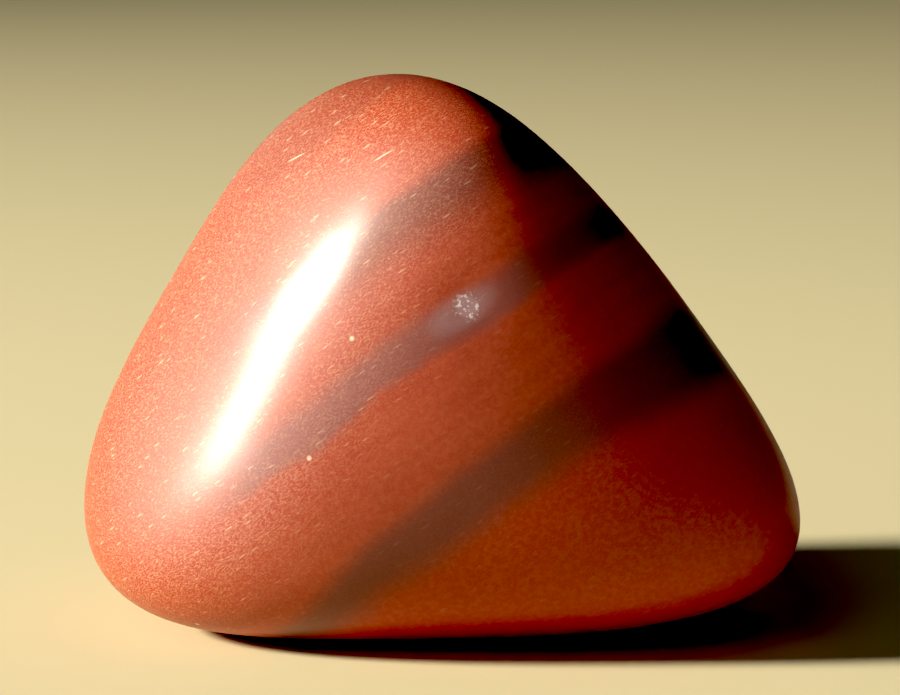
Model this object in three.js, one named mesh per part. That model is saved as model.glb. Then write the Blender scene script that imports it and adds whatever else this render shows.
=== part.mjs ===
// Tumbled tiger jasper: one polished stone, rounded off between broad worn sides.
// It stands on a small flat under its belly, with its blunt point up.
// Millimetres, +Z up, +X to the right of the front, which faces -Y.
// Origin: on the table, under the middle of the stone's box.
import * as THREE from 'three';
import { mergeVertices } from 'three/addons/utils/BufferGeometryUtils.js';

// Driving sizes of the stone as it stands.
const WIDTH = 28.3;
const DEPTH = 17;
const HEIGHT = 21.6;

// How tightly the sides round into each other: higher powers leave sharper edges.
const ROUNDING_POWER = 5;
// How much of the lowest bulge is worn flat, so that the stone stands still.
const FOOT_WEAR = 0.3;
// Each edge of the starting icosahedron is cut into this many steps, plus one.
const MESH_DETAIL = 18;
// Points closer than this are one point.
const MERGE_DISTANCE = 1e-5;

// The worn sides. Azimuth turns from the front (-Y) towards the right (+X),
// elevation rises from level, and distance is from the stone's heart to the side.
const SIDES = [
  // The two broad faces, both leaning back towards the point.
  { name: 'front', azimuth: 2, elevation: 5, distance: 7.2 },
  { name: 'back', azimuth: 180, elevation: 12, distance: 9.3 },
  // The left flank: a broad bevel at the front that softens into the front face.
  { name: 'left', azimuth: -52, elevation: 27, distance: 8.2 },
  { name: 'left front', azimuth: -32, elevation: 12, distance: 10.3 },
  { name: 'left back', azimuth: -130, elevation: 22, distance: 12.5 },
  // The right flank, flatter and turned a little away.
  { name: 'right back', azimuth: 98, elevation: 38, distance: 9.2 },
  { name: 'front right', azimuth: 42, elevation: 20, distance: 11.8 },
  // The blunt point and the belly.
  { name: 'top', azimuth: 0, elevation: 90, distance: 12 },
  { name: 'bottom', azimuth: 90, elevation: -88, distance: 11.1 },
  // The turns from the belly up into the flanks and faces.
  { name: 'left foot', azimuth: -115, elevation: -45, distance: 16 },
  { name: 'right foot', azimuth: 100, elevation: -38, distance: 16.5 },
  { name: 'front foot', azimuth: 0, elevation: -45, distance: 11.4 },
  { name: 'back foot', azimuth: 180, elevation: -45, distance: 13 },
];

// Slow swells left by uneven grinding: a cosine of the direction along an axis.
const SWELLS = [
  { azimuth: 20, elevation: 10, turns: 4, height: 0.04 },
  { azimuth: 100, elevation: 35, turns: 5, height: 0.03 },
  { azimuth: -60, elevation: 60, turns: 6, height: 0.03 },
];

// A shallow dimple in the front, where a chip was polished over.
const DIMPLE = { azimuth: 10, elevation: 30, radius: 1.1, depth: 0.08 };

// Unit vector of an azimuth and an elevation in degrees.
function direction({ azimuth, elevation }) {
  const turn = THREE.MathUtils.degToRad(azimuth);
  const rise = THREE.MathUtils.degToRad(elevation);
  const level = Math.cos(rise);
  return new THREE.Vector3(Math.sin(turn) * level, -Math.cos(turn) * level, Math.sin(rise));
}

const sides = SIDES.map((side) => ({ normal: direction(side), distance: side.distance }));
const swells = SWELLS.map((swell) => ({ ...swell, axis: direction(swell) }));
const dimpleWay = direction(DIMPLE);

// Distance from the heart to the worn sides along a way: each side is a plane,
// and the power sum of how far the way runs towards each plane rounds their edges.
function sideReach(way) {
  let sum = 0;
  for (const { normal, distance } of sides) {
    sum += Math.max(0, normal.dot(way) / distance) ** ROUNDING_POWER;
  }
  return sum ** (-1 / ROUNDING_POWER);
}

// Height of the swells along a way.
function swellHeight(way) {
  let height = 0;
  for (const swell of swells) {
    height += swell.height * Math.cos(swell.turns * swell.axis.dot(way));
  }
  return height;
}

// Depth of the dimple along a way: a bell that fades over the dimple's radius.
function dimpleDepth(way, reach) {
  const offset = dimpleWay.angleTo(way) * reach;
  return DIMPLE.depth * Math.exp(-((offset / DIMPLE.radius) ** 2));
}

// Distance from the heart to the polished surface along a way.
function surfaceReach(way) {
  const reach = sideReach(way);
  return reach + swellHeight(way) - dimpleDepth(way, reach);
}

// A ball of evenly spread points, each moved out to the stone's surface.
function stoneGeometry() {
  const ball = new THREE.IcosahedronGeometry(1, MESH_DETAIL);
  ball.deleteAttribute('normal');
  ball.deleteAttribute('uv');
  const stone = mergeVertices(ball, MERGE_DISTANCE);
  const position = stone.getAttribute('position');
  const way = new THREE.Vector3();
  for (let i = 0; i < position.count; i += 1) {
    way.fromBufferAttribute(position, i).normalize();
    way.multiplyScalar(surfaceReach(way));
    position.setXYZ(i, way.x, way.y, way.z);
  }
  return stone;
}

// Wears the lowest bulge to a level flat.
function wearFoot(geometry) {
  geometry.computeBoundingBox();
  const level = geometry.boundingBox.min.z + FOOT_WEAR;
  const position = geometry.getAttribute('position');
  for (let i = 0; i < position.count; i += 1) {
    position.setZ(i, Math.max(position.getZ(i), level));
  }
}

// Brings the worn stone to its driving sizes, which its sides already meet closely.
function bringToSize(geometry) {
  geometry.computeBoundingBox();
  const size = geometry.boundingBox.getSize(new THREE.Vector3());
  geometry.scale(WIDTH / size.x, DEPTH / size.y, HEIGHT / size.z);
}

// Stands the stone on the table, with the middle of its box over the origin.
function standOnTable(geometry) {
  geometry.computeBoundingBox();
  const { min, max } = geometry.boundingBox;
  geometry.translate(-(min.x + max.x) / 2, -(min.y + max.y) / 2, -min.z);
  geometry.computeVertexNormals();
}

function makeStone() {
  const geometry = stoneGeometry();
  wearFoot(geometry);
  bringToSize(geometry);
  standOnTable(geometry);
  const material = new THREE.MeshStandardMaterial({
    color: 0xb24f2f,
    roughness: 0.35,
    metalness: 0,
  });
  const stone = new THREE.Mesh(geometry, material);
  stone.name = 'stone';
  return stone;
}

const group = new THREE.Group();
group.add(makeStone());

export default group;
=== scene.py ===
"""A tumbled tiger jasper on a plain pale floor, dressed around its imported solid."""

import math

import bpy
import numpy as np
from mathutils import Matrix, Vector


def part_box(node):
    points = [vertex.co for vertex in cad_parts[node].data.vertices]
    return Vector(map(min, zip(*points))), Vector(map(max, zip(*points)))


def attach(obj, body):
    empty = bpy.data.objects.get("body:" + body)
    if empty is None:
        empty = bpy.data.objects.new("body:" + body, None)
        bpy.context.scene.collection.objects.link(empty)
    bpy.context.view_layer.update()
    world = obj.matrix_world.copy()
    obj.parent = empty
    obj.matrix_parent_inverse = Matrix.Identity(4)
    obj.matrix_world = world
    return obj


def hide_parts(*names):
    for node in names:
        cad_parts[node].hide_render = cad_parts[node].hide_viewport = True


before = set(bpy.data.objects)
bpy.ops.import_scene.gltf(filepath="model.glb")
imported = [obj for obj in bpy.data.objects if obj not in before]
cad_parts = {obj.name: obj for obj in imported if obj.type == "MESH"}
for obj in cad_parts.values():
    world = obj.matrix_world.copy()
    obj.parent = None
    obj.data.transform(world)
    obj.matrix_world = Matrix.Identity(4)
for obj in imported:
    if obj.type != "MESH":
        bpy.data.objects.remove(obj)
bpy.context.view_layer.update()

MM = 0.001  # metres in a millimetre

# The stone's form in millimetres and degrees, as its solid has it.
# Each worn side: azimuth from the front (-Y) towards +X, elevation, distance from the heart.
WORN_SIDES = {
    "front": (2, 5, 7.2),
    "back": (180, 12, 9.3),
    "left": (-52, 27, 8.2),
    "left front": (-32, 12, 10.3),
    "left back": (-130, 22, 12.5),
    "right back": (98, 38, 9.2),
    "front right": (42, 20, 11.8),
    "top": (0, 90, 12),
    "bottom": (90, -88, 11.1),
    "left foot": (-115, -45, 16),
    "right foot": (100, -38, 16.5),
    "front foot": (0, -45, 11.4),
    "back foot": (180, -45, 13),
}
ROUNDING_POWER = 5
FOOT_WEAR = 0.3
# Slow swells: azimuth and elevation of the axis, turns, height.
SWELLS = ((20, 10, 4, 0.04), (100, 35, 5, 0.03), (-60, 60, 6, 0.03))
DIMPLE_WAY = (10, 30)
DIMPLE_RADIUS = 1.1
DIMPLE_DEPTH = 0.08

# Ripples left by tumbling, too low for the solid: how many, their lengths, their height.
RIPPLE_SEED = 7
RIPPLES = 48
RIPPLE_LENGTHS = (1.6, 4.5)
RIPPLE_HEIGHT = 0.0025
GRID_STEPS = 128  # squares along each edge of the cube that is blown up into the fine stone

# The rock's layers: how they rise to the right and lean back, in degrees. Noise bends
# them: its waves per millimetre, its detail, and the whole range that it bends them by.
LAYER_RISE = 34.5
LAYER_LEAN = 12.0
SLOW_BEND = (0.14, 1.0, 1.6)
QUICK_BEND = (0.8, 3.0, 0.4)

# The dark bands in the layers. Each has a lower and an upper edge: height above the heart,
# how much it climbs for each millimetre to the right, and its blur. Then the band's
# strength and colour.
BAND_BROWN = (0.180, 0.052, 0.038)
BAND_VIOLET = (0.240, 0.080, 0.068)
BAND_ROSE = (0.150, 0.033, 0.015)
BANDS = (
    ((-6.15, 0.0, 1.5), (-4.1, 0.13, 1.1), 0.90, BAND_BROWN),
    ((0.1, 0.04, 0.6), (1.5, 0.02, 1.0), 0.90, BAND_VIOLET),
    ((4.0, 0.0, 1.9), (5.7, 0.0, 0.7), 0.85, BAND_ROSE),
    ((9.5, 0.0, 0.8), (11.5, 0.0, 0.8), 0.30, BAND_ROSE),
)
# The bands fade out towards the left, between these places to the right of the heart.
BANDS_WHOLE = -6.5
BANDS_GONE = -9.5

# The brick red between the bands: thin lighter layers, pale clots, a deeper red towards
# the underside and, where the key light falls, a darker red under the grains' painted
# glints. A pattern's edge is where its noise starts to show it and where it is whole.
BRICK = (0.39, 0.071, 0.036)
BRICK_LIGHT = (0.42, 0.080, 0.039)
BRICK_DEEP = (0.41, 0.043, 0.006)
# Painted: a darker red under the grains' glints where the key light falls.
BRICK_UNDER_GLINTS = (0.32, 0.038, 0.010)
DEEP_BELOW = -3.0  # the height above the heart where the brick starts to deepen
DEEP_FULLY = -8.0
THIN_LAYERS = (9.0, 0.25, 3.0)  # how flat they lie, their waves per millimetre, their detail
THIN_LAYER_EDGE = (0.42, 0.62)
CLOTS_PER_MM = 4.5
CLOT_EDGE = (0.40, 0.66)
CLOT = (0.52, 0.13, 0.075)
CLOT_SHARE = 0.25

# The key-lit side, where the grains open up into painted glints: its azimuth and
# elevation, and how far towards it the glints start and are whole.
LIT_SIDE_WAY = (-68, 26)
LIT_SIDE_FROM = 2.0
LIT_SIDE_FULLY = 8.0
GRAINS_AWAY_FROM_LIGHT = 0.15  # how far the grains are open on the rest of the stone

FINE_DETAIL = 2.0  # the detail of the noise in the clots, the weave and the sparks

# Grains that lie in the layers: a weave of fine pale strokes, and single bright flecks,
# both opened up into painted glints on the key-lit side.
WEAVE_FLATNESS = 2.6
WEAVE_PER_MM = 8.5
WEAVE_GRIT = 0.8
WEAVE_EDGE = (0.44, 0.66)
WEAVE_SHARE = 0.5
WEAVE_LOST_IN_BANDS = 0.15
FLECK_FLATNESS = 5.0
FLECK_SPACING = 0.6
FLECK_RADIUS = 0.25
SMALLEST_FLECK = 0.3  # beside the largest
FLECK_CORE = 0.3  # the share of a fleck's radius that is whole
FLECKED_CELLS = 0.35  # the share of the lattice's cells that hold a fleck
FLECK_SHARE = 0.36
GRAIN_PALE = (0.72, 0.38, 0.19)
GRAIN_BRIGHT = (0.92, 0.68, 0.46)

# Marks on the surface, each place as azimuth and elevation from the heart: scratches from
# end to end, specks, and a painted sheen around the dimple with painted glints in it.
SCRATCHES = (((-89, 54), (-83, 59)), ((-36, 63), (-23, 66)))
SCRATCH_HALF_WIDTH = 0.05
SCRATCH_FADE = 0.35  # the share of a scratch over which each end fades
SPECKS = ((-28, 19), (-36, -14), (-66, -42))
SPECK_RADIUS = 0.13
BRIGHT_SHARE = 0.7
# Painted sheen over the dimple: a pale veil drawn out along its layer, with a glow in it.
DIMPLE_SHEEN_WAY = (7, 28)
DIMPLE_SHEEN_RADIUS = 1.9
DIMPLE_SHEEN_FLATNESS = 2.2
SHEEN_VEIL_STRENGTH = 0.35
SHEEN_GLOW_STRENGTH = 0.7
DIMPLE_SHEEN_SHARE = 0.6
DIMPLE_SHEEN = (0.62, 0.48, 0.56)
# Painted glints of broken crystal faces, in the dimple's glow.
GLINTS_WAY = (9, 29)
GLINT_PATCH_RADIUS = 0.8
GLINTS_PER_MM = 7.5
GLINT_EDGE = (0.54, 0.66)
GLINT_SHARE = 0.8
GLINT_WHITE = (0.92, 0.86, 0.94)

# The tumbled polish: a rough base that the bands roughen a little more, and a clearer coat
# that lies thicker on the bands.
ROUGHNESS = 0.48
ROUGHNESS_RANGE = 0.10
ROUGHNESS_CLOUDS = (0.5, 3.0)  # their waves per millimetre and their detail
ROUGHER_BANDS = 0.08
ROCK_IOR = 1.54
COAT = 0.31
COAT_ON_BANDS = 0.30
COAT_ROUGHNESS = 0.31
COAT_IOR = 1.5
GRAIN_RELIEF = 0.007 * MM
FLECK_RELIEF = 0.5  # how high the flecks stand beside the weave

# The view, in millimetres and degrees: a long lens, a little above level.
LENS = 120.0
SENSOR = 36.0
VIEW_DISTANCE = 117.0
VIEW_RISE = 11.0
AIM_FROM_HEART = (0.4, 0.0, 0.85)
CLIP_START = 10.0

# Light: each softbox has azimuth, elevation, distance and width in metres, spread in
# degrees, watts and colour.
KEY_BOX = (-82.0, 22.0, 1.0, 0.14, 50.0, 1.85, (1.0, 0.94, 0.83))
HAZE_BOX = (-38.0, 42.0, 1.0, 0.7, 180.0, 0.65, (1.0, 0.97, 0.94))
BACK_BOX = (-150.0, 8.0, 1.0, 0.6, 180.0, 0.6, (1.0, 0.90, 0.72))
FILL_BOX = (140.0, 30.0, 1.0, 1.2, 180.0, 0.9, (1.0, 0.88, 0.65))
SKY = (0.010, 0.009, 0.006)
DISPLAY_BLACK = (0.046, 0.038, 0.027)
DISPLAY_EXPOSURE = 0.10

FLOOR_COLOUR = (0.70, 0.63, 0.39)
FLOOR_ROUGHNESS = 0.9
FLOOR_SHEEN = 0.1
FLOOR_SIDE = 3.0  # metres


# ---- the stone's surface ----

def way_of(azimuth, elevation):
    """Unit vector of an azimuth from -Y towards +X and an elevation, in degrees."""
    turn, rise = math.radians(azimuth), math.radians(elevation)
    return np.array([
        math.sin(turn) * math.cos(rise),
        -math.cos(turn) * math.cos(rise),
        math.sin(rise),
    ])


def surface_reach(ways):
    """Millimetres from the heart to the surface along each unit vector. Every worn side is
    a plane: the sum of (way . normal / distance) to the rounding power, raised to -1/power,
    rounds them into each other. The swells are added and the dimple's bell is taken off."""
    total = np.zeros(ways.shape[:-1])
    for azimuth, elevation, distance in WORN_SIDES.values():
        towards = ways @ way_of(azimuth, elevation) / distance
        total += np.maximum(0, towards) ** ROUNDING_POWER
    reach = total ** (-1 / ROUNDING_POWER)
    swell = sum(
        height * np.cos(turns * (ways @ way_of(azimuth, elevation)))
        for azimuth, elevation, turns, height in SWELLS
    )
    offset = np.arccos(np.clip(ways @ way_of(*DIMPLE_WAY), -1, 1)) * reach
    dimple = DIMPLE_DEPTH * np.exp(-((offset / DIMPLE_RADIUS) ** 2))
    return reach + swell - dimple


def ripple_height(points):
    """Low ripples: the sum of cosines of each point along fixed random ways, with lengths
    between the two limits and phases spread over a whole turn."""
    chance = np.random.default_rng(RIPPLE_SEED)
    ways = chance.normal(size=(RIPPLES, 3))
    ways /= np.linalg.norm(ways, axis=1, keepdims=True)
    lengths = chance.uniform(*RIPPLE_LENGTHS, RIPPLES)
    phases = chance.uniform(0, 2 * np.pi, RIPPLES)
    waves = np.cos(points @ (ways * (2 * np.pi / lengths)[:, None]).T + phases)
    return RIPPLE_HEIGHT * waves.sum(-1) / math.sqrt(RIPPLES / 2)


def cube_faces(steps):
    """Whole-number corners and the squares of a cube's six gridded faces, with the corners
    of each square in the turn that makes it look out."""
    first, second = np.meshgrid(np.arange(steps + 1), np.arange(steps + 1), indexing="ij")
    corner = (first * (steps + 1) + second)[:-1, :-1].ravel()
    square = np.stack([corner, corner + steps + 1, corner + steps + 2, corner + 1], 1)
    lattices, squares = [], []
    for axis in range(3):
        for far in (False, True):
            lattice = np.empty((first.size, 3), int)
            lattice[:, axis] = far * steps
            lattice[:, (axis + 1) % 3] = first.ravel()
            lattice[:, (axis + 2) % 3] = second.ravel()
            squares.append((square if far else square[:, ::-1]) + len(lattices) * first.size)
            lattices.append(lattice)
    return np.concatenate(lattices), np.concatenate(squares)


def ball_grid(steps):
    """Unit vectors and squares of a cube blown up into a ball. Corners that faces share are
    welded, and the tangent of each corner's place makes the squares even in size."""
    lattice, squares = cube_faces(steps)
    shared, number = np.unique(lattice, axis=0, return_inverse=True)
    place = np.tan((2 * shared / steps - 1) * math.pi / 4)
    ways = place / np.linalg.norm(place, axis=1, keepdims=True)
    return ways, number.reshape(-1)[squares]


def stone_points(ways):
    """Points of the surface around the heart, in millimetres: the rippled reach along each
    way, with the lowest bulge worn level by the foot's wear."""
    reach = surface_reach(ways)
    smooth = ways * reach[:, None]
    level = smooth[:, 2].min() + FOOT_WEAR
    points = ways * (reach + ripple_height(smooth))[:, None]
    points[:, 2] = np.maximum(points[:, 2], level)
    return points


def new_mesh_object(name, points, faces):
    """A smooth mesh object at the origin from an array of points and one of faces."""
    mesh = bpy.data.meshes.new(name)
    mesh.from_pydata(points.tolist(), [], faces.tolist())
    mesh.polygons.foreach_set("use_smooth", np.ones(len(faces), bool))
    mesh.update()
    made = bpy.data.objects.new(name, mesh)
    bpy.context.scene.collection.objects.link(made)
    return made


def make_stone():
    """The fine stone, brought to the box where its solid stands, with its heart's place and
    the size of one of its own millimetres along each axis, both in metres."""
    ways, squares = ball_grid(GRID_STEPS)
    points = stone_points(ways)
    low, high = (np.array(corner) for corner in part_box("stone"))
    unit = (high - low) / (points.max(0) - points.min(0))
    heart = low - points.min(0) * unit
    return new_mesh_object("jasper_stone", points * unit + heart, squares), heart, unit


def layers_up():
    """Unit vector up through the layers: straight up, leaned back and then turned left by
    the layers' rise."""
    rise, lean = math.radians(LAYER_RISE), math.radians(LAYER_LEAN)
    return (
        -math.sin(rise) * math.cos(lean),
        math.sin(lean),
        math.cos(rise) * math.cos(lean),
    )


# ---- shader nodes ----

def add(tree, kind, inputs=None, **settings):
    """Adds a node, sets its properties, and sets or links its inputs."""
    made = tree.nodes.new(kind)
    for name, value in settings.items():
        setattr(made, name, value)
    for socket, value in (inputs or {}).items():
        if isinstance(value, bpy.types.NodeSocket):
            tree.links.new(value, made.inputs[socket])
        else:
            made.inputs[socket].default_value = value
    return made


def maths(tree, operation, *values):
    """The result of a Math node."""
    return add(tree, "ShaderNodeMath", dict(enumerate(values)), operation=operation).outputs[0]


def vector_maths(tree, operation, *values):
    """The result of a Vector Math node."""
    made = add(tree, "ShaderNodeVectorMath", dict(enumerate(values)), operation=operation)
    return made.outputs["Value" if operation in ("DOT_PRODUCT", "LENGTH") else "Vector"]


def ramp(tree, value, start, end):
    """A smooth rise from 0 to 1 as the value goes from start to end."""
    made = add(
        tree, "ShaderNodeMapRange",
        {"Value": value, "From Min": start, "From Max": end},
        interpolation_type="SMOOTHSTEP",
    )
    return made.outputs["Result"]


def noise(tree, point, per_mm, detail, grit=0.5):
    """Smooth noise around one half, with its coarsest waves per millimetre and the strength
    of each finer set of waves beside the last."""
    made = add(tree, "ShaderNodeTexNoise", {
        "Vector": point, "Scale": per_mm, "Detail": detail, "Roughness": grit,
    })
    return made.outputs["Fac"]


def spots(tree, point, spacing, radius, smallest, core, share):
    """Soft round spots in a share of the cells of a jumbled lattice of that spacing, each
    whole out to its core. Their size, from the smallest share of the radius up, and their
    strength are random, so most are small and faint."""
    cells = add(tree, "ShaderNodeTexVoronoi", {"Vector": point, "Scale": 1 / spacing})
    chance = add(tree, "ShaderNodeSeparateColor", {"Color": cells.outputs["Color"]}).outputs[0]
    strength = ramp(tree, chance, 1 - share, 1.0)
    edge = maths(
        tree, "MULTIPLY_ADD", strength,
        (1 - smallest) * radius / spacing, smallest * radius / spacing,
    )
    inside = ramp(tree, cells.outputs["Distance"], edge, maths(tree, "MULTIPLY", edge, core))
    return maths(tree, "MULTIPLY", inside, strength)


def blend(tree, share, first, second):
    """A colour between two, by a share from 0 to 1."""
    made = add(tree, "ShaderNodeMix", {"Factor": share}, data_type="RGBA")
    for target, colour in zip([s for s in made.inputs if s.type == "RGBA"], (first, second)):
        if isinstance(colour, bpy.types.NodeSocket):
            tree.links.new(colour, target)
        else:
            target.default_value = (*colour, 1)
    return [s for s in made.outputs if s.type == "RGBA"][0]


def new_group(name, *outputs):
    """A node group with a Point input and named outputs, each (name, kind)."""
    tree = bpy.data.node_groups.new(name, "ShaderNodeTree")
    tree.interface.new_socket("Point", in_out="INPUT", socket_type="NodeSocketVector")
    for socket, kind in outputs:
        tree.interface.new_socket(socket, in_out="OUTPUT", socket_type=kind)
    return tree, tree.nodes.new("NodeGroupInput").outputs["Point"]


def finish_group(tree, **results):
    """Links a group's results to its outputs of the same names."""
    end = tree.nodes.new("NodeGroupOutput")
    for name, value in results.items():
        tree.links.new(value, end.inputs[name])
    return tree


def flattened(tree, point, times):
    """The point with its height across the layers stretched, so that round patterns read
    there lie flat in the layers."""
    height = vector_maths(tree, "DOT_PRODUCT", point, layers_up())
    lift = maths(tree, "MULTIPLY", height, times - 1.0)
    return vector_maths(tree, "MULTIPLY_ADD", lift, layers_up(), point)


def rock_layers():
    """Colour: brick red with thin lighter layers, soft pale clots and the dark bands, which
    follow the height across the layers that slow and quick noise bends. Banded: how much of
    it is a band."""
    tree, point = new_group(
        "rock_layers", ("Colour", "NodeSocketColor"), ("Banded", "NodeSocketFloat"),
    )
    height = vector_maths(tree, "DOT_PRODUCT", point, layers_up())
    for per_mm, detail, reach in (SLOW_BEND, QUICK_BEND):
        bend = maths(tree, "MULTIPLY_ADD", noise(tree, point, per_mm, detail), reach, -reach / 2)
        height = maths(tree, "ADD", height, bend)
    sideways = add(tree, "ShaderNodeSeparateXYZ", {"Vector": point}).outputs["X"]
    flatness, per_mm, detail = THIN_LAYERS
    thin = noise(tree, flattened(tree, point, flatness), per_mm, detail)
    colour = blend(tree, ramp(tree, thin, *THIN_LAYER_EDGE), BRICK, BRICK_LIGHT)
    colour = blend(tree, ramp(tree, height, DEEP_BELOW, DEEP_FULLY), colour, BRICK_DEEP)
    clots = ramp(tree, noise(tree, point, CLOTS_PER_MM, FINE_DETAIL), *CLOT_EDGE)
    colour = blend(tree, maths(tree, "MULTIPLY", clots, CLOT_SHARE), colour, CLOT)
    # Painted: a darker red under the grains' glints on the key-lit side.
    colour = blend(tree, lit_side(tree, point), colour, BRICK_UNDER_GLINTS)
    kept = ramp(tree, sideways, BANDS_GONE, BANDS_WHOLE)
    banded = 0.0
    for lower, upper, strength, shade in BANDS:
        begun, ended = (
            ramp(
                tree, maths(tree, "MULTIPLY_ADD", sideways, -climb, height),
                level - blur / 2, level + blur / 2,
            )
            for level, climb, blur in (lower, upper)
        )
        inside = maths(tree, "MULTIPLY", begun, maths(tree, "SUBTRACT", 1.0, ended))
        inside = maths(tree, "MULTIPLY", inside, kept)
        colour = blend(tree, maths(tree, "MULTIPLY", inside, strength), colour, shade)
        banded = maths(tree, "MAXIMUM", banded, inside)
    return finish_group(tree, Colour=colour, Banded=banded)


def lit_side(tree, point):
    """How far the point lies towards the side the key light falls on, as a ramp: the mask
    of the grains' painted glints.
    """
    towards = vector_maths(tree, "DOT_PRODUCT", point, tuple(way_of(*LIT_SIDE_WAY)))
    return ramp(tree, towards, LIT_SIDE_FROM, LIT_SIDE_FULLY)


def pale_grains():
    """Weave: a dense mat of fine pale strokes that lie in the layers, opened up most on the
    key-lit side as painted glints. Flecks: single short bright strokes, opened up the same way."""
    tree, point = new_group(
        "pale_grains", ("Weave", "NodeSocketFloat"), ("Flecks", "NodeSocketFloat"),
    )
    strokes = flattened(tree, point, WEAVE_FLATNESS)
    weave = ramp(
        tree, noise(tree, strokes, WEAVE_PER_MM, FINE_DETAIL, WEAVE_GRIT), *WEAVE_EDGE,
    )
    cells = flattened(tree, point, FLECK_FLATNESS)
    flecks = spots(
        tree, cells, FLECK_SPACING, FLECK_RADIUS, SMALLEST_FLECK, FLECK_CORE, FLECKED_CELLS,
    )
    # Painted glints: the grains open up on the side the key light falls on.
    glint_opening = maths(tree, "MULTIPLY_ADD", lit_side(tree, point), 1 - GRAINS_AWAY_FROM_LIGHT, GRAINS_AWAY_FROM_LIGHT)
    return finish_group(
        tree,
        Weave=maths(tree, "MULTIPLY", weave, glint_opening),
        Flecks=maths(tree, "MULTIPLY", flecks, glint_opening),
    )


def scratch(tree, point, start, end):
    """A thin mark along the line from start to end, in millimetres: a soft edge on the
    distance to the line, which fades towards both ends."""
    line = end - start
    reached = vector_maths(tree, "SUBTRACT", point, tuple(start))
    along = vector_maths(tree, "DOT_PRODUCT", reached, tuple(line / (line @ line)))
    share = maths(tree, "MINIMUM", maths(tree, "MAXIMUM", along, 0.0), 1.0)
    back = maths(tree, "MULTIPLY", share, -1.0)
    beside = vector_maths(tree, "MULTIPLY_ADD", back, tuple(line), reached)
    away = vector_maths(tree, "LENGTH", beside)
    mark = ramp(tree, away, SCRATCH_HALF_WIDTH, SCRATCH_HALF_WIDTH / 3)
    for tip, whole in ((0.0, SCRATCH_FADE), (1.0, 1 - SCRATCH_FADE)):
        mark = maths(tree, "MULTIPLY", mark, ramp(tree, share, tip, whole))
    return mark


def patch(tree, point, middle, radius, times=1.0):
    """A soft patch that is whole to a third of its radius, in millimetres, and so many
    times thinner across the layers than along them."""
    offset = flattened(tree, vector_maths(tree, "SUBTRACT", point, tuple(middle)), times)
    return ramp(tree, vector_maths(tree, "LENGTH", offset), radius, radius / 3)


def on_surface(azimuth, elevation):
    """The point of the surface that lies that way from the heart, in millimetres."""
    way = way_of(azimuth, elevation)
    return way * surface_reach(way)


def surface_marks():
    """Bright: scratches and single specks. Frost: a painted sheen around the dimple,
    a veil drawn out along its layer with a glow in it. Glints: painted glints of broken
    crystal faces in the glow."""
    tree, point = new_group(
        "surface_marks",
        ("Bright", "NodeSocketFloat"), ("Frost", "NodeSocketFloat"), ("Sparks", "NodeSocketFloat"),
    )
    marks = [scratch(tree, point, on_surface(*start), on_surface(*end)) for start, end in SCRATCHES]
    marks += [patch(tree, point, on_surface(*way), SPECK_RADIUS) for way in SPECKS]
    bright = marks[0]
    for mark in marks[1:]:
        bright = maths(tree, "MAXIMUM", bright, mark)
    # Painted glints: bright crystal faces in the dimple's painted glow.
    faces = ramp(tree, noise(tree, point, GLINTS_PER_MM, FINE_DETAIL), *GLINT_EDGE)
    glint_patch = patch(tree, point, on_surface(*GLINTS_WAY), GLINT_PATCH_RADIUS)
    sheen_glow = maths(tree, "MULTIPLY", glint_patch, glint_patch)
    sheen_veil = patch(tree, point, on_surface(*DIMPLE_SHEEN_WAY), DIMPLE_SHEEN_RADIUS, DIMPLE_SHEEN_FLATNESS)
    dimple_sheen = maths(
        tree, "MAXIMUM",
        maths(tree, "MULTIPLY", sheen_veil, SHEEN_VEIL_STRENGTH), maths(tree, "MULTIPLY", sheen_glow, SHEEN_GLOW_STRENGTH),
    )
    glints = maths(tree, "MULTIPLY", faces, sheen_glow)
    return finish_group(tree, Bright=bright, Frost=dimple_sheen, Sparks=glints)


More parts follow.
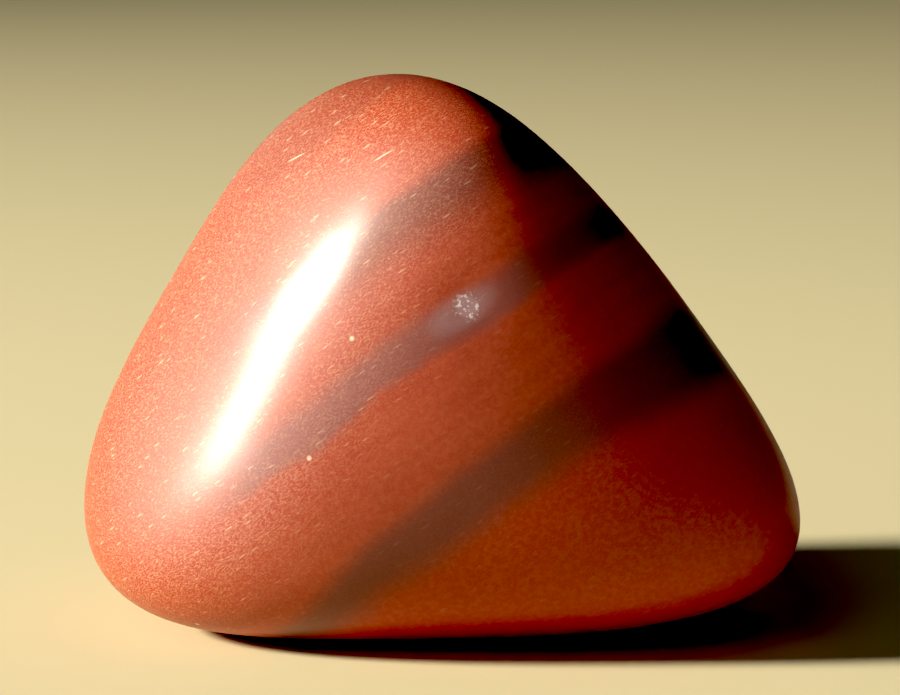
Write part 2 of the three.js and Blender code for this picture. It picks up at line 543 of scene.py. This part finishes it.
def polished_jasper(heart, unit):
    """The stone's finish: layered rock, pale grains and a few bright marks under a satin
    tumbled polish, whose haze is the rough base and whose sheen is the coat. Painted into
    the colour: glints of the grains on the key-lit side, and a sheen with glints at the dimple."""
    material = bpy.data.materials.new("polished_jasper")
    material.use_nodes = True
    tree = material.node_tree
    tree.nodes.clear()
    place = add(tree, "ShaderNodeTexCoord").outputs["Object"]
    point = add(tree, "ShaderNodeMapping", {
        "Vector": place, "Location": tuple(-heart / unit), "Scale": tuple(1 / unit),
    }).outputs["Vector"]
    layers, grains, marks = (
        add(tree, "ShaderNodeGroup", node_tree=group)
        for group in (rock_layers(), pale_grains(), surface_marks())
    )
    for group in (layers, grains, marks):
        tree.links.new(point, group.inputs["Point"])
    weave, flecks = grains.outputs["Weave"], grains.outputs["Flecks"]
    colour, banded = layers.outputs["Colour"], layers.outputs["Banded"]
    woven = maths(tree, "MULTIPLY_ADD", banded, -WEAVE_LOST_IN_BANDS, WEAVE_SHARE)
    for mask, share, shade in (
        (weave, woven, GRAIN_PALE),
        (flecks, FLECK_SHARE, GRAIN_BRIGHT),
        # Painted sheen and glints at the dimple.
        (marks.outputs["Frost"], DIMPLE_SHEEN_SHARE, DIMPLE_SHEEN),
        (marks.outputs["Sparks"], GLINT_SHARE, GLINT_WHITE),
        (marks.outputs["Bright"], BRIGHT_SHARE, GRAIN_BRIGHT),
    ):
        colour = blend(tree, maths(tree, "MULTIPLY", mask, share), colour, shade)
    clouds = noise(tree, point, *ROUGHNESS_CLOUDS)
    rough = maths(tree, "MULTIPLY_ADD", clouds, ROUGHNESS_RANGE, ROUGHNESS)
    bump = add(tree, "ShaderNodeBump", {
        "Height": maths(tree, "MULTIPLY_ADD", flecks, FLECK_RELIEF, weave),
        "Strength": 1.0, "Distance": GRAIN_RELIEF,
    })
    shader = add(tree, "ShaderNodeBsdfPrincipled", {
        "Base Color": colour,
        "Roughness": maths(tree, "MULTIPLY_ADD", banded, ROUGHER_BANDS, rough),
        "IOR": ROCK_IOR,
        "Coat Weight": maths(tree, "MULTIPLY_ADD", banded, COAT_ON_BANDS, COAT),
        "Coat Roughness": COAT_ROUGHNESS,
        "Coat IOR": COAT_IOR,
        "Normal": bump.outputs["Normal"],
    })
    add(tree, "ShaderNodeOutputMaterial", {"Surface": shader.outputs["BSDF"]})
    return material


# ---- floor, light and camera ----

def make_floor():
    """A plain pale floor at the foot's level."""
    half = FLOOR_SIDE / 2
    corners = np.array([(-half, -half, 0), (half, -half, 0), (half, half, 0), (-half, half, 0)])
    floor = new_mesh_object("plain_floor", corners, np.array([(0, 1, 2, 3)]))
    material = bpy.data.materials.new("pale_floor")
    material.use_nodes = True
    tree = material.node_tree
    tree.nodes.clear()
    shader = add(tree, "ShaderNodeBsdfPrincipled", {
        "Base Color": (*FLOOR_COLOUR, 1),
        "Roughness": FLOOR_ROUGHNESS,
        "Specular IOR Level": FLOOR_SHEEN,
    })
    add(tree, "ShaderNodeOutputMaterial", {"Surface": shader.outputs["BSDF"]})
    floor.data.materials.append(material)


def make_softbox(name, azimuth, elevation, distance, width, spread, watts, colour, aim):
    """A round softbox at a distance from the stone, which it faces."""
    light = bpy.data.lights.new(name, "AREA")
    light.shape = "DISK"
    light.size = width
    light.spread = math.radians(spread)
    light.energy = watts
    light.color = colour
    box = bpy.data.objects.new(name, light)
    way = Vector(way_of(azimuth, elevation))
    box.location = Vector(aim) + way * distance
    box.rotation_euler = way.to_track_quat("Z", "Y").to_euler()
    box.visible_camera = False
    bpy.context.scene.collection.objects.link(box)
    return box


def light_the_stone(aim):
    """A low warm key from the left, a weak soft light above the view's left for the haze in
    the polish, dim soft lights for the back and for the right side, and a faint even sky.
    The fill stays out of the polish, where it would draw a pale rim. The display's black
    level and exposure deepen the shade and lift the rest a little."""
    make_softbox("key_softbox", *KEY_BOX, aim)
    make_softbox("haze_softbox", *HAZE_BOX, aim)
    make_softbox("back_softbox", *BACK_BOX, aim)
    fill = make_softbox("fill_softbox", *FILL_BOX, aim)
    fill.visible_glossy = False
    world = bpy.data.worlds.new("studio")
    world.use_nodes = True
    world.node_tree.nodes["Background"].inputs["Color"].default_value = (*SKY, 1)
    bpy.context.scene.world = world
    display = bpy.context.scene.view_settings
    display.view_transform = "Standard"
    display.use_curve_mapping = True
    display.curve_mapping.black_level = DISPLAY_BLACK
    display.exposure = DISPLAY_EXPOSURE


def make_camera(heart):
    """The camera looks along +Y, down by the view's rise, at a point near the heart."""
    lens = bpy.data.cameras.new("view")
    lens.lens = LENS
    lens.sensor_width = SENSOR
    lens.clip_start = CLIP_START * MM
    camera = bpy.data.objects.new("view", lens)
    aim = Vector(heart + np.array(AIM_FROM_HEART) * MM)
    camera.location = aim + Vector(way_of(0, VIEW_RISE)) * VIEW_DISTANCE * MM
    camera.rotation_euler = (math.radians(90 - VIEW_RISE), 0, 0)
    bpy.context.scene.collection.objects.link(camera)
    bpy.context.scene.camera = camera


stone, heart, unit = make_stone()
stone.data.materials.append(polished_jasper(heart, unit))
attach(stone, "root")
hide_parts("stone")
make_camera(heart)
make_floor()
light_the_stone(heart)
